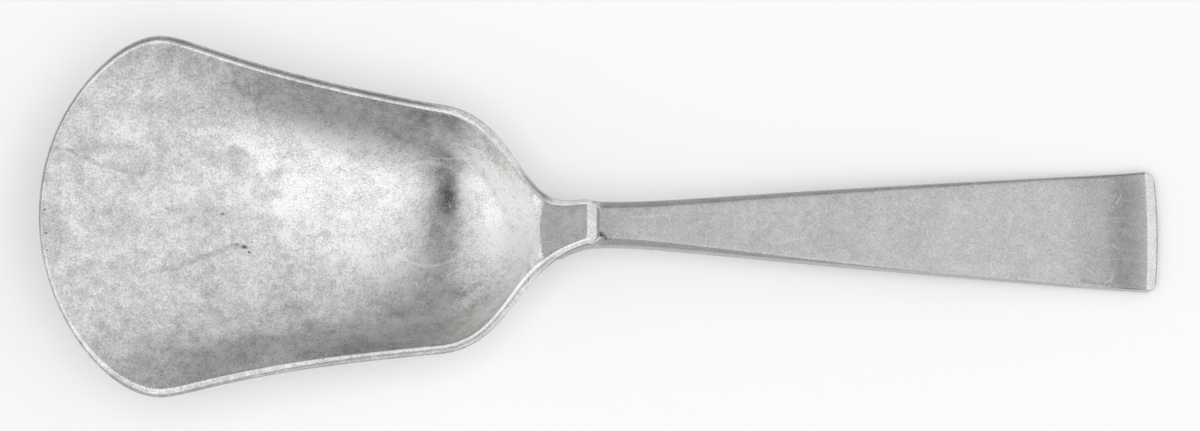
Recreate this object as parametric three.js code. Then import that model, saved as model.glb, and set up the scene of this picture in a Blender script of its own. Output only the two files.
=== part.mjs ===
import * as THREE from 'three';

// A bonbon spoon lying at rest on a table. Sizes are in millimetres, angles are written as rise per run.
// The bowl tip points to -x, the handle end to +x, z is up and the table is z = 0.

// Bowl outline from above. Distances called _AT are measured back from the tip,
// those called _TO_END forward from the tongue's end.
const BOWL_LENGTH = 57.95;
const BOWL_WIDTH = 38.2;
const WIDEST_AT = 12.6;
const HEEL_WIDTH = 26.35;
const HEEL_TO_END = 16.1;
const NECK_WIDTH = 4.7;
const TONGUE_LENGTH = 2.65;
const TONGUE_CORNER = 0.9;
const TONGUE_TAPER = 0.3;

// How far each curve of the outline holds its direction, as a share of its own run.
const TIP_HOLD = 0.58;
const CORNER_HOLD = [0.4, 0.11];
const HEEL_HOLD = [0.75, 0.54];
const HEEL_TAPER = -0.133;
const NECK_HOLD = 0.42;
const NECK_TAPER = -0.206;

// The hand-made bowl sits a little askew: sideways run per length, and how softly that ends at the heel.
const BOWL_TURN = 0.036;
const TURN_BLEND = 4;

// Bowl seen from the side.
const SHEET = 0.95;
const TIP_HEIGHT = 10.7;
const NECK_HEIGHT = 7.6;
const DEEPEST_TO_END = 15.55;
const BELLY_BLEND = 4;
const BELLY_FLAT = 0.25;
const PAD_LENGTH = 5.95;
const HEEL_SLOPE = 1.75;
const WALL_POWER = 2.8;
const RIM_BOW = 0.7;

// Rim: a narrow land on the bowl's edge that runs on as the bevel of the tongue.
const RIM_LAND = 0.8;
const RIM_DROP = 0.12;
const RIM_EDGE = 0.55;
const TIP_LAND = 0.4;
const TONGUE_BEVEL = 0.55;
const TWIST_DROP = 0.75;
const TONGUE_DROP = 0.5;
const TWIST_LENGTH = 3;
const TWIST_END = 1.2;
const TONGUE_END_BEVEL = 1;
const TONGUE_END_EDGE = 0.1;

// Solder film under the tongue, with a small bead along the tongue's end.
const SOLDER = 0.2;
const SOLDER_INSET = 0.25;
const SOLDER_BEAD = 0.3;
const SOLDER_EDGE = 0.03;

// Handle: a tapered bar that runs forward under the tongue.
const HANDLE_REACH = 59.05;
const END_WIDTH = 12.9;
const WAIST = 0.29;
const WAIST_AT = 7;
const NECK_THICK = 2.4;
const END_THICK = 1.5;
const NOSE_GAP = 1.4;
const NOSE_EDGE = 1.2;
const NOSE_INSET = 0.05;
const NOSE_CORNER = 1.2;
const SEAT_OVERRUN = 0.4;
const NECK_BEND = 5;
const LOWEST_TO_END = 4;
const REST_BEND = 1.2;
const REST_SINK = 0.067;
const CURL_RADIUS = 18;
const SIDE_DRAFT = 0.03;
const SEAT_CHAMFER = 0.1;
const CHAMFER_BLEND = 1;
const NECK_CHAMFER = 0.75;
const END_CHAMFER = 0.25;
const CHAMFER_RUN = 34;
const CHAMFER_FALL = 0.7;
const UNDER_CHAMFER = 0.3;
const CHAMFER_LIMIT = 0.4;
const UNDER_LIMIT = 0.3;
const END_BEVEL = 1.1;
const END_BEVEL_DROP = 0.95;
const END_BOW = 0.25;
const END_CORNER = 1.1;

// Mesh steps.
const OUTLINE_STEPS = [14, 16, 14, 4, 3];
const FLOOR_RINGS = 8;
const FAN_FOCUS = 1.6;
const FAN_BLEND = 0.6;
const LAND_SLANT = 0.5;
const HANDLE_STEPS = 26;
const NOSE_STEPS = 5;
const CORNER_STEPS = 4;
const SOLDER_STEPS = 5;

// Places worked out from the sizes above.
const tipX = -(BOWL_LENGTH + HANDLE_REACH) / 2;
const shoulderX = tipX + BOWL_LENGTH;
const padAt = BOWL_LENGTH - PAD_LENGTH;
const neckAt = BOWL_LENGTH - TONGUE_LENGTH;
const heelAt = BOWL_LENGTH - HEEL_TO_END;
const deepestAt = BOWL_LENGTH - DEEPEST_TO_END;
const twistedAt = padAt - TWIST_END;
const lapZ = NECK_HEIGHT - SHEET;
const seatZ = lapZ - SOLDER;
const bellyZ = SHEET - BELLY_FLAT;
const neckHalf = NECK_WIDTH / 2;

const { clamp, lerp, smoothstep } = THREE.MathUtils;

// Where along a curve of the outline a distance from the tip is reached.
function reachedAt(curve, at) {
  let [low, high] = [0, 1];
  for (let i = 0; i < 40; i += 1) {
    const middle = (low + high) / 2;
    [low, high] = curve.getPoint(middle).x < at ? [middle, high] : [low, middle];
  }
  return low;
}

// Half of the bowl's outline, tip to tongue end, with rows at the pad's front edge and at the tongue's bevel.
function bowlOutline() {
  const half = BOWL_WIDTH / 2;
  const heelHalf = HEEL_WIDTH / 2;
  const tip = new THREE.Vector2(0, 0);
  const widest = new THREE.Vector2(WIDEST_AT, half);
  const heel = new THREE.Vector2(heelAt, heelHalf);
  const neck = new THREE.Vector2(neckAt, neckHalf + TONGUE_TAPER);
  const corner = new THREE.Vector2(BOWL_LENGTH - TONGUE_CORNER, neckHalf);
  const end = new THREE.Vector2(BOWL_LENGTH, neckHalf - TONGUE_CORNER);
  const side = heelAt - WIDEST_AT;
  const turn = neckAt - heelAt;
  const along = (p, dx, slope) => new THREE.Vector2(p.x + dx, p.y + dx * slope);
  const tipHold = new THREE.Vector2(0, half * TIP_HOLD);
  const cornerIn = along(widest, -WIDEST_AT * CORNER_HOLD[0], 0);
  const cornerOut = along(widest, side * CORNER_HOLD[1], 0);
  const heelIn = along(heel, -side * HEEL_HOLD[0], HEEL_TAPER);
  const heelOut = along(heel, turn * HEEL_HOLD[1], HEEL_TAPER);
  const neckIn = along(neck, -turn * NECK_HOLD, NECK_TAPER);
  const curves = [
    new THREE.CubicBezierCurve(tip, tipHold, cornerIn, widest),
    new THREE.CubicBezierCurve(widest, cornerOut, heelIn, heel),
    new THREE.CubicBezierCurve(heel, heelOut, neckIn, neck),
    new THREE.LineCurve(neck, corner),
    new THREE.LineCurve(corner, end),
  ];
  const edges = [null, null, padAt, BOWL_LENGTH - TONGUE_END_BEVEL, null];
  const rows = [];
  curves.forEach((curve, c) => {
    const shares = [];
    for (let i = c === 0 ? 0 : 1; i <= OUTLINE_STEPS[c]; i += 1) {
      shares.push(i / OUTLINE_STEPS[c]);
    }
    if (edges[c] !== null) {
      const edge = reachedAt(curve, edges[c]);
      const nearest = Math.round(edge * OUTLINE_STEPS[c]) - 1;
      shares[clamp(nearest, 0, shares.length - 2)] = edge;
    }
    shares.forEach((u) => {
      const p = curve.getPoint(u);
      const d = curve.getTangent(u);
      rows.push({ at: p.x, half: p.y, dx: d.x, dy: d.y });
    });
  });
  return rows;
}

// Height of the bowl's inside along its middle line, before the flat pad cuts it off.
function floorLine(at) {
  const back = at - deepestAt;
  if (back <= 0) {
    const fall = (TIP_HEIGHT - bellyZ) / (Math.hypot(deepestAt, BELLY_BLEND) - BELLY_BLEND);
    return bellyZ + fall * (Math.hypot(back, BELLY_BLEND) - BELLY_BLEND);
  }
  const run = padAt - deepestAt;
  const u = back / run;
  return bellyZ + (NECK_HEIGHT - bellyZ) * u * u * (3 - 2 * u) + HEEL_SLOPE * run * u * u * (u - 1);
}

function floorSlope(at) {
  const step = 0.01;
  return (floorLine(at + step) - floorLine(at - step)) / (2 * step);
}

// The flat pad at the neck cuts off the rising back of the bowl, inside and underneath.
function paddedFloor(at) {
  return at < deepestAt ? floorLine(at) : Math.min(floorLine(at), NECK_HEIGHT);
}

function insideFloor(at) {
  const past = clamp(at - (BOWL_LENGTH - TONGUE_END_BEVEL), 0, TONGUE_END_BEVEL);
  return paddedFloor(at) - past * (SHEET - TONGUE_END_EDGE) / TONGUE_END_BEVEL;
}

function outsideFloor(at) {
  const under = floorLine(at) - SHEET * Math.hypot(1, floorSlope(at));
  return at < deepestAt ? under : Math.min(under, lapZ);
}

// The rim rises from the neck to the tip and bows up by RIM_BOW on the way.
function rimLine(at) {
  const ahead = Math.max(0, 1 - at / padAt);
  const bow = RIM_BOW * (27 / 4) * ahead * ahead * (1 - ahead);
  return NECK_HEIGHT + (TIP_HEIGHT - NECK_HEIGHT) * ahead + bow;
}

function rimLand(at) {
  const front = lerp(TIP_LAND, RIM_LAND, smoothstep(at, 0, WIDEST_AT));
  return lerp(front, TONGUE_BEVEL, smoothstep(at, twistedAt, neckAt));
}

// Sideways shift of the askew bowl, nothing at the widest line and nothing at the tongue's end.
function askew(at) {
  const turned = (p) => 0.5 * (p + heelAt - Math.hypot(p - heelAt, TURN_BLEND));
  return -BOWL_TURN * (turned(at) - turned(WIDEST_AT)) * (1 - smoothstep(at, padAt, BOWL_LENGTH));
}

// Rows of the outline with the width inside the rim's land, and the widths read off at any distance.
// In front of the widest place the walls run on straight, and the tip only trims them.
const outline = bowlOutline().map((row) => ({
  ...row,
  inner: row.half - rimLand(row.at) / Math.max(row.dx, LAND_SLANT),
}));
const sideRows = outline.filter((row) => row.at >= WIDEST_AT);

function widthAt(at, key) {
  const next = sideRows.findIndex((row) => row.at >= at);
  if (next <= 0) {
    return next < 0 ? sideRows.at(-1)[key] : sideRows[0][key];
  }
  const [a, b] = [sideRows[next - 1], sideRows[next]];
  return lerp(a[key], b[key], (at - a.at) / (b.at - a.at));
}

function onTongue(at) {
  return smoothstep(at, twistedAt - TWIST_LENGTH, twistedAt);
}

// Fall of the rim's land to the outside: nearly level on the bowl, steep at the neck, a bevel on the tongue.
function landDrop(at) {
  const twisted = lerp(RIM_DROP, TWIST_DROP, onTongue(at));
  return lerp(twisted, TONGUE_DROP, smoothstep(at, twistedAt, neckAt));
}

function insideHeight(at, y) {
  const wall = rimLine(at) - paddedFloor(at);
  return insideFloor(at) + wall * Math.min(1, y / widthAt(at, 'inner')) ** WALL_POWER;
}

function outsideHeight(at, y) {
  const edge = lerp(RIM_EDGE, SHEET, onTongue(at));
  const wall = Math.max(0, rimLine(at) - edge - outsideFloor(at));
  return Math.max(0, outsideFloor(at) + wall * Math.min(1, y / widthAt(at, 'half')) ** WALL_POWER);
}

// One rib of the bowl, from the middle line out over the rim and back underneath.
function bowlRib(row) {
  const focus = WIDEST_AT * FAN_FOCUS;
  const spine = 0.5 * (row.at + focus + Math.hypot(row.at - focus, WIDEST_AT * FAN_BLEND));
  const start = lerp(spine, row.at, smoothstep(row.at, WIDEST_AT, heelAt));
  const reachX = row.at - start;
  const reach = Math.hypot(reachX, row.half);
  const facing = Math.abs(reachX * row.dy - row.half * row.dx) / reach;
  const inner = 1 - rimLand(row.at) / Math.max(facing, LAND_SLANT) / reach;
  const fit = row.at < WIDEST_AT ? 1 : row.half * inner / widthAt(start + reachX * inner, 'inner');
  const points = [];
  for (let i = 0; i <= FLOOR_RINGS; i += 1) {
    const r = inner * i / FLOOR_RINGS;
    const at = start + reachX * r;
    points.push([at, row.half * r, insideHeight(at, row.half * r / lerp(1, fit, i / FLOOR_RINGS))]);
  }
  const crest = points.at(-1)[2] - landDrop(row.at);
  points.push([row.at, row.half, Math.max(crest, outsideHeight(row.at, row.half) + TONGUE_END_EDGE / 2)]);
  for (let i = FLOOR_RINGS + 1; i >= 0; i -= 1) {
    const r = i / (FLOOR_RINGS + 1);
    const at = start + reachX * r;
    points.push([at, row.half * r, outsideHeight(at, row.half * r)]);
  }
  return points;
}

// Closed mesh from a grid of ribs and its mirror image, joined along the middle line.
function bowlGeometry() {
  const ribs = outline.map(bowlRib);
  const rings = ribs[0].length;
  const positions = [];
  const index = [];
  const sides = [1, -1].map(() => []);
  ribs.forEach((rib, i) => {
    rib.forEach(([at, half, z], j) => {
      const middle = i === 0 || j === 0 || j === rings - 1;
      [1, -1].forEach((sign, s) => {
        if (middle && s === 1) {
          sides[1].push(sides[0][i * rings + j]);
          return;
        }
        sides[s].push(positions.length / 3);
        positions.push(tipX + at, (middle ? 0 : sign * half) + askew(at), z);
      });
    });
  });
  const face = (s, a, b, c) => {
    const v = sides[s];
    index.push(...(s === 0 ? [v[a], v[b], v[c]] : [v[a], v[c], v[b]]));
  };
  [0, 1].forEach((s) => {
    for (let i = 0; i + 1 < ribs.length; i += 1) {
      for (let j = 0; j + 1 < rings; j += 1) {
        const a = i * rings + j;
        const b = a + rings;
        if (j + 2 < rings) {
          face(s, a, b, b + 1);
          face(s, a, b + 1, a + 1);
        } else {
          face(s, a, b, a + 1);
          face(s, a + 1, b, b + 1);
        }
      }
    }
    const last = (ribs.length - 1) * rings;
    for (let j = 0; 2 * j + 2 < rings; j += 1) {
      const a = last + j;
      const b = last + rings - 1 - j;
      face(s, a, b, b - 1);
      if (a + 1 < b - 1) {
        face(s, a, b - 1, a + 1);
      }
    }
  });
  return meshGeometry(positions, index);
}

function meshGeometry(positions, index) {
  const geometry = new THREE.BufferGeometry();
  geometry.setAttribute('position', new THREE.Float32BufferAttribute(positions, 3));
  geometry.setIndex(index);
  geometry.computeVertexNormals();
  return geometry;
}

// Side line of the handle bar; distances run from the tongue's end towards the handle end.
// The bar falls straight to the line where it lies on the table, which flattens it, and turns up behind.
const neckUnder = seatZ - NECK_THICK;
const lowestAt = HANDLE_REACH - LOWEST_TO_END;
const barRun = Math.hypot(lowestAt, REST_BEND) - REST_BEND - NECK_BEND / 2;
const barFall = (neckUnder + REST_SINK) / barRun;
const lap = PAD_LENGTH - NOSE_GAP;

function barLine(along) {
  const past = along - lowestAt;
  if (past > 0) {
    return CURL_RADIUS - Math.sqrt(CURL_RADIUS ** 2 - past ** 2) - REST_SINK;
  }
  const start = Math.max(0, 1 - along / NECK_BEND);
  const bend = barFall * NECK_BEND / 2 * start * start;
  return barFall * (Math.hypot(past, REST_BEND) - REST_BEND) - REST_SINK - bend;
}

function barUnder(along) {
  if (along < 0) {
    const full = Math.sqrt(Math.max(0, 1 - (along / lap) ** 2));
    return seatZ - NOSE_EDGE - (NECK_THICK - NOSE_EDGE) * full;
  }
  return Math.max(0, barLine(along));
}

function barTop(along) {
  if (along <= SEAT_OVERRUN) {
    return seatZ;
  }
  const thick = lerp(NECK_THICK, END_THICK, along / HANDLE_REACH);
  const past = Math.max(0, along - (HANDLE_REACH - END_BOW - END_BEVEL));
  return barLine(along) + thick - past * END_BEVEL_DROP / END_BEVEL;
}

// Under the tongue the bar is spread flush with it and its nose is rounded.
function noseHalf(along) {
  const flush = Math.max(neckHalf, widthAt(BOWL_LENGTH + along, 'half') - NOSE_INSET);
  const past = Math.max(0, NOSE_CORNER - lap - along);
  return flush - NOSE_CORNER + Math.sqrt(Math.max(0, NOSE_CORNER ** 2 - past ** 2));
}

function barHalf(along) {
  if (along < 0) {
    return noseHalf(along);
  }
  const drawn = along / WAIST_AT;
  const waist = WAIST * drawn * Math.exp(1 - drawn);
  const taper = lerp(neckHalf, END_WIDTH / 2, along / HANDLE_REACH) - waist;
  const past = Math.max(0, along - (HANDLE_REACH - END_BOW - END_CORNER));
  return taper - END_CORNER + Math.sqrt(Math.max(0, END_CORNER ** 2 - past ** 2));
}

// One ring of the bar: across the top, down one side, back underneath and up the other side.
function barRing(along) {
  const top = barTop(along);
  const under = barUnder(along);
  const half = barHalf(along);
  const free = smoothstep(along, -CHAMFER_BLEND, CHAMFER_BLEND);
  const open = lerp(NECK_CHAMFER, END_CHAMFER, clamp(along / CHAMFER_RUN, 0, 1));
  const chamfer = lerp(SEAT_CHAMFER, open, free);
  const drop = Math.min(chamfer * CHAMFER_FALL, (top - under) * CHAMFER_LIMIT);
  const lift = Math.min(UNDER_CHAMFER, (top - under) * UNDER_LIMIT);
  const flare = half + SIDE_DRAFT * (top - under);
  const bow = END_BOW * smoothstep(along, lowestAt, HANDLE_REACH - END_BOW);
  const across = [1, 0.5, 0, -0.5, -1];
  const ring = [
    ...across.map((f) => [f * (half - chamfer), top]),
    [-half, top - drop],
    [-flare, under + lift],
    ...across.map((f) => [-f * (flare - UNDER_CHAMFER), under]),
    [flare, under + lift],
    [half, top - drop],
  ];
  const shift = along < 0 ? askew(BOWL_LENGTH + along) : 0;
  return ring.map(([y, z]) => [shoulderX + along + bow * (1 - (y / flare) ** 2), y + shift, z]);
}

function handleGeometry() {
  const last = HANDLE_REACH - END_BOW;
  const bevelFrom = last - Math.max(END_BEVEL, END_CORNER);
  const flatHalf = Math.sqrt((REST_SINK / barFall + REST_BEND) ** 2 - REST_BEND ** 2);
  const restFrom = lowestAt - flatHalf;
  const restTo = lowestAt + Math.sqrt(CURL_RADIUS ** 2 - (CURL_RADIUS - REST_SINK) ** 2);
  const stations = [];
  for (let i = 0; i < NOSE_STEPS; i += 1) {
    stations.push(-lap * Math.cos((i / NOSE_STEPS) * Math.PI / 2));
  }
  stations.push(0, SEAT_OVERRUN, CHAMFER_BLEND);
  for (let i = 1; i < HANDLE_STEPS; i += 1) {
    stations.push(lerp(CHAMFER_BLEND, restFrom, i / HANDLE_STEPS));
  }
  for (let i = 0; i < CORNER_STEPS; i += 1) {
    stations.push(lerp(restFrom, restTo, i / CORNER_STEPS));
  }
  for (let i = 0; i < CORNER_STEPS; i += 1) {
    stations.push(lerp(restTo, bevelFrom, i / CORNER_STEPS));
  }
  for (let i = 0; i <= CORNER_STEPS; i += 1) {
    stations.push(lerp(bevelFrom, last, Math.sin((i / CORNER_STEPS) * Math.PI / 2)));
  }
  const rings = stations.map(barRing);
  const size = rings[0].length;
  const index = [];
  for (let i = 0; i + 1 < rings.length; i += 1) {
    for (let j = 0; j < size; j += 1) {
      const a = i * size + j;
      const b = i * size + (j + 1) % size;
      index.push(a, b, b + size, a, b + size, a + size);
    }
  }
  const cap = (start, flip) => {
    const pairs = [[0, 11], [1, 10], [2, 9], [3, 8], [4, 7], [5, 6]];
    const quad = (a, b, c, d) => {
      const [p, q, r, s] = flip ? [a, d, c, b] : [a, b, c, d];
      index.push(start + p, start + q, start + r, start + p, start + r, start + s);
    };
    for (let k = 0; k + 1 < pairs.length; k += 1) {
      quad(pairs[k][0], pairs[k][1], pairs[k + 1][1], pairs[k + 1][0]);
    }
    quad(13, 12, 11, 0);
  };
  cap(0, false);
  cap((rings.length - 1) * size, true);
  return meshGeometry(rings.flat(2), index);
}

// Solder: a film in the lap that follows the tongue, with a wedge of a bead behind the tongue's end.
function solderGeometry() {
  const front = NOSE_CORNER / 2 - lap;
  const places = [];
  for (let i = 0; i <= SOLDER_STEPS; i += 1) {
    places.push(lerp(front, -TONGUE_CORNER, i / SOLDER_STEPS));
  }
  places.push(0, SOLDER_BEAD);
  const positions = [];
  places.forEach((along) => {
    const at = Math.min(BOWL_LENGTH + along, BOWL_LENGTH);
    const half = Math.min(widthAt(at, 'half'), barHalf(along)) - SOLDER_INSET;
    const top = along > 0 ? seatZ + SOLDER_EDGE : lapZ;
    [[half, top], [-half, top], [-half, seatZ], [half, seatZ]].forEach(([y, z]) => {
      positions.push(shoulderX + along, y + askew(at), z);
    });
  });
  const index = [0, 2, 1, 0, 3, 2];
  const last = positions.length / 3 - 4;
  for (let i = 0; i < last; i += 4) {
    for (let j = 0; j < 4; j += 1) {
      const [a, b] = [i + j, i + (j + 1) % 4];
      index.push(a, b, b + 4, a, b + 4, a + 4);
    }
  }
  index.push(last, last + 1, last + 2, last, last + 2, last + 3);
  return meshGeometry(positions, index);
}

const polishedSilver = { color: 0xc9c8c4, roughness: 0.3, metalness: 1 };
const hardSolder = { color: 0xb4b2aa, roughness: 0.42, metalness: 1 };

function piece(name, geometry, look) {
  const mesh = new THREE.Mesh(geometry, new THREE.MeshStandardMaterial(look));
  mesh.name = name;
  return mesh;
}

const spoon = new THREE.Group();
spoon.name = 'bonbon_spoon';
spoon.add(piece('bowl', bowlGeometry(), polishedSilver));
spoon.add(piece('handle', handleGeometry(), polishedSilver));
spoon.add(piece('solder_seam', solderGeometry(), hardSolder));

export default spoon;
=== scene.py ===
import math
from bisect import bisect_left

import bmesh
import bpy
from bpy.props import FloatProperty, FloatVectorProperty, PointerProperty
from bpy.types import Operator, Panel, PropertyGroup
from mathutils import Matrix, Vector


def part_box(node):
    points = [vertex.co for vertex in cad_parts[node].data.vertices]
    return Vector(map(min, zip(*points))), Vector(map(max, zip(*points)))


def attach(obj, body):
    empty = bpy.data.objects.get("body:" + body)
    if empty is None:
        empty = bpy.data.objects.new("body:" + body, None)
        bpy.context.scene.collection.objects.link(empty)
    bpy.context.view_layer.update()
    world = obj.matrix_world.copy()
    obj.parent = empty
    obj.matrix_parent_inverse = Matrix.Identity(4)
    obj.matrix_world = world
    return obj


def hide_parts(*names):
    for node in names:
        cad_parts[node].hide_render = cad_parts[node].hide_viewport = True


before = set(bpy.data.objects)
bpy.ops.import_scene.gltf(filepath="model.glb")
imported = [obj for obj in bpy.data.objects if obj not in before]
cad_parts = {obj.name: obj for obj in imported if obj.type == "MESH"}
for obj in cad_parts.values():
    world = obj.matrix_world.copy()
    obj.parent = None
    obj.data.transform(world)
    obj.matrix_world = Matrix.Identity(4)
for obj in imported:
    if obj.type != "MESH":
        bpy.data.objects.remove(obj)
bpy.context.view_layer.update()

bl_info = {
    "name": "Bonbon Spoon",
    "version": (1, 0, 0),
    "blender": (4, 5, 0),
    "location": "View3D > Sidebar > Bonbon Spoon",
    "description": "Builds a worn silver bonbon spoon on its packed solids",
    "category": "Object",
}

# Lengths are metres in the file and millimetres where they are typed in.
MM = 0.001
BOWL_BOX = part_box("bowl")
HANDLE_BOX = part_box("handle")
TIP_X = BOWL_BOX[0].x
SHOULDER_X = BOWL_BOX[1].x
# How much narrower the worn bowl is than its solid.
SHY = 0.02 * MM
# Edges sharper than these angles in degrees stay sharp.
SILVER_SMOOTH = 40
SOLDER_SMOOTH = 50
TINY = 1e-9


def clamp(value, low, high):
    return max(low, min(high, value))


def lerp(a, b, share):
    return a + (b - a) * share


def smoothstep(value, low, high):
    share = clamp((value - low) / (high - low), 0.0, 1.0)
    return share * share * (3.0 - 2.0 * share)


# Settings that a user would change.

def number(name, description, default, **more):
    return FloatProperty(name=name, description=description, default=default, **more)


def metres(name, description, default, **more):
    return number(name, description, default, unit="LENGTH", precision=5, **more)


def length(name, description, millimetres):
    return metres(name, description, millimetres * MM, min=0.0)


def share(name, description, default, low=0.0, high=1.0):
    return number(name, description, default, min=low, max=high, subtype="FACTOR")


def colour(name, description, default):
    return FloatVectorProperty(
        name=name, description=description, default=default, size=3, min=0.0, max=1.0, subtype="COLOR"
    )


class SpoonBowlSizes(PropertyGroup):
    """Sizes of the raised sheet bowl with its tongue."""

    length: metres("Length", "Tip to tongue end", SHOULDER_X - TIP_X)
    width: metres("Width", "Across the front corners", BOWL_BOX[1].y - BOWL_BOX[0].y - SHY)
    widest_at: length("Widest at", "Tip to the widest line", 12.6)
    heel_width: length("Heel width", "Across the bowl where it turns in to the neck", 26.35)
    heel_to_end: length("Heel to end", "Heel line to the tongue end", 16.1)
    neck_width: length("Neck width", "Across the tongue", 4.7)
    tongue_length: length("Tongue length", "Straight part of the tongue", 2.65)
    tongue_corner: length("Tongue corner", "Corner cut off the tongue end", 0.65)
    tongue_taper: length("Tongue taper", "Extra half width at the root of the tongue", 0.3)
    lean_blend: length("Lean blend", "Length over which the turn of the bowl ends at the heel", 4.0)
    sheet: length("Sheet", "Thickness of the sheet", 0.95)
    tip_height: length("Tip height", "Inside of the tip above the table", 10.7)
    neck_height: length("Neck height", "Pad above the table", 7.6)
    deepest_to_end: length("Deepest to end", "Deepest line to the tongue end", 15.55)
    belly_blend: length("Belly blend", "Length over which the floor levels out", 4.0)
    belly_flat: length("Belly flat", "Depth worn off under the belly", 0.25)
    pad_length: length("Pad length", "Flat pad at the neck", 5.95)
    pad_corner: length("Pad corner", "How far the pad's front corners are worn back", 0.6)
    rim_bow: length("Rim bow", "How far the rim bows up between tip and neck", 0.7)
    rim_land: length("Rim land", "Width of the filed edge along the sides", 0.8)
    rim_drop: length("Rim drop", "Fall of the filed edge to the outside", 0.12)
    rim_edge: length("Rim edge", "Depth of the rim's outer side", 0.55)
    rim_round: length("Rim round", "Softening of the rim's edges by wear", 0.17)
    tip_land: length("Tip land", "Width of the filed edge at the tip", 0.4)
    tongue_bevel: length("Tongue bevel", "Width of the bevel along the tongue", 0.55)
    tongue_drop: length("Tongue drop", "Fall of that bevel", 0.5)
    twist_drop: length("Twist drop", "Fall of the rim where it has turned outwards at the neck", 0.75)
    twist_length: length("Twist length", "Length over which the rim turns into the bevel", 3.0)
    twist_end: length("Twist end", "End of that turn in front of the pad", 1.2)
    end_bevel: length("End bevel", "Bevel on the tongue end", 1.0)
    end_edge: length("End edge", "Thickness left at the tongue end", 0.1)
    heel_slope: number("Heel slope", "Rise per run where the heel meets the pad", 1.75)
    lean: number("Lean", "Sideways run per length of the bowl, which sits a little askew", 0.036)
    wall_power: number("Wall power", "How late the floor turns up into the walls", 2.8, min=1.5, max=5.0)


class SpoonHandleSizes(PropertyGroup):
    """Sizes of the tapered handle bar."""

    reach: metres("Reach", "Tongue end to handle end", HANDLE_BOX[1].x - SHOULDER_X)
    end_width: length("End width", "Across the handle end", 12.9)
    waist: length("Waist", "How far the bar draws in behind the tongue", 0.29)
    waist_at: length("Waist at", "Tongue end to the waist", 7.0)
    neck_thick: length("Neck thickness", "Bar thickness at the neck", 2.4)
    end_thick: length("End thickness", "Bar thickness at the end", 1.5)
    nose_gap: length("Nose gap", "Pad front to the bar's nose", 1.4)
    nose_edge: length("Nose edge", "Height of the bar's blunt nose", 1.2)
    nose_inset: length("Nose inset", "How far the bar stays behind the tongue's sides", 0.05)
    nose_corner: length("Nose corner", "Corner radius of the bar's nose", 1.2)
    seat_overrun: length("Seat overrun", "Level seat past the tongue end", 0.4)
    lowest_at: length("Lowest at", "Tongue end to the line where the bar lies on the table", 54.75)
    rest_bend: length("Rest bend", "Length over which the bar levels out there", 1.2)
    rest_sink: length("Rest sink", "Depth worn off where the bar lies on the table", 0.067)
    neck_bend: length("Neck bend", "Length over which the bar starts to fall", 5.0)
    curl_radius: length("Curl radius", "Radius of the upturned end", 18.0)
    seat_chamfer: length("Seat chamfer", "Edge chamfer under the tongue", 0.1)
    chamfer_blend: length("Chamfer blend", "Half the length over which the chamfer opens", 0.5)
    left_neck_chamfer: length("Left neck chamfer", "Edge chamfer at the neck, on the left", 0.85)
    left_end_chamfer: length("Left end chamfer", "Edge chamfer at the end, on the left", 0.36)
    left_chamfer_run: length("Left chamfer run", "Length over which the left chamfer narrows", 48.0)
    neck_chamfer: length("Neck chamfer", "Edge chamfer at the neck, on the right", 0.75)
    end_chamfer: length("End chamfer", "Edge chamfer at the end, on the right", 0.06)
    chamfer_run: length("Chamfer run", "Length over which the right chamfer narrows", 36.0)
    under_chamfer: length("Under chamfer", "Edge chamfer underneath", 0.3)
    end_bevel: length("End bevel", "Bevel on the handle end", 1.1)
    end_bevel_drop: length("End bevel drop", "Height of that bevel", 0.95)
    end_bow: length("End bow", "Bow of the handle end", 0.25)
    end_corner: length("End corner", "Corner radius of the handle end", 1.1)
    edge_round: length("Edge round", "Softening of the bar's edges by wear", 0.12)
    side_draft: number("Side draft", "Lean of the bar's sides, run per rise", 0.03)
    chamfer_fall: share("Chamfer fall", "Height of the edge chamfer as a share of its width", 0.7)


class SpoonSolderSizes(PropertyGroup):
    """Sizes of the solder between tongue and bar."""

    film: length("Film", "Thickness between tongue and bar", 0.2)
    inset: length("Inset", "How far the film stays behind the edges", 0.12)
    bead: length("Bead", "Run-out of the bead at the tongue end", 0.3)
    edge: length("Edge", "Thickness of the bead where it runs out", 0.03)


class SpoonFinish(PropertyGroup):
    """Colours and wear of the silver and the solder."""

    silver: colour("Silver", "Bright worn silver", (0.885, 0.88, 0.87))
    tarnish: colour("Tarnish", "Dark residue in pits and at the solder", (0.06, 0.057, 0.053))
    solder: colour("Solder", "Grey of the old solder", (0.33, 0.325, 0.31))
    satin: share("Satin", "Roughness of the worn surface", 0.17)
    scuff: share("Scuff", "Extra roughness where the bowl is scraped most", 0.22)
    frost: share("Frost", "Matt share of the silver that is scraped most", 0.34)
    grain: share("Grain", "Contrast of the fine grain", 1.65, high=2.5)
    mottle: share("Mottle", "Contrast of the soft mottling", 0.9)
    patches: share("Patches", "Contrast of the broad dull patches", 1.1, high=2.0)
    ripple: length("Ripple", "Height of the soft waves left by the planishing", 0.008)
    scratch: length("Scratch", "Depth of the scratches", 0.004)


class SpoonStage(PropertyGroup):
    """Floor, light and camera."""

    floor: colour("Floor", "Pale floor", (0.93, 0.93, 0.93))
    glow: share("Glow", "Pale backdrop share of the floor", 0.05)
    key: number("Key", "Power of the soft key light", 4.5, unit="POWER")
    azimuth: number("Azimuth", "Camera azimuth in degrees", 0.0)
    elevation: number("Elevation", "Camera elevation in degrees", 79.5)
    distance: number("Distance", "Camera to target", 0.698, unit="LENGTH")
    lens: number("Lens", "Focal length in millimetres", 200.0)
    target: FloatVectorProperty(
        name="Target", description="Point in the middle of the frame",
        default=(-0.2 * MM, 1.0 * MM, 5.0 * MM), size=3, unit="LENGTH", precision=5
    )


def plain_values(group):
    """The settings of a group as plain numbers, which read faster than the properties."""
    return {key: getattr(group, key) for key in group.__annotations__}


# Forms of the pieces.

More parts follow.
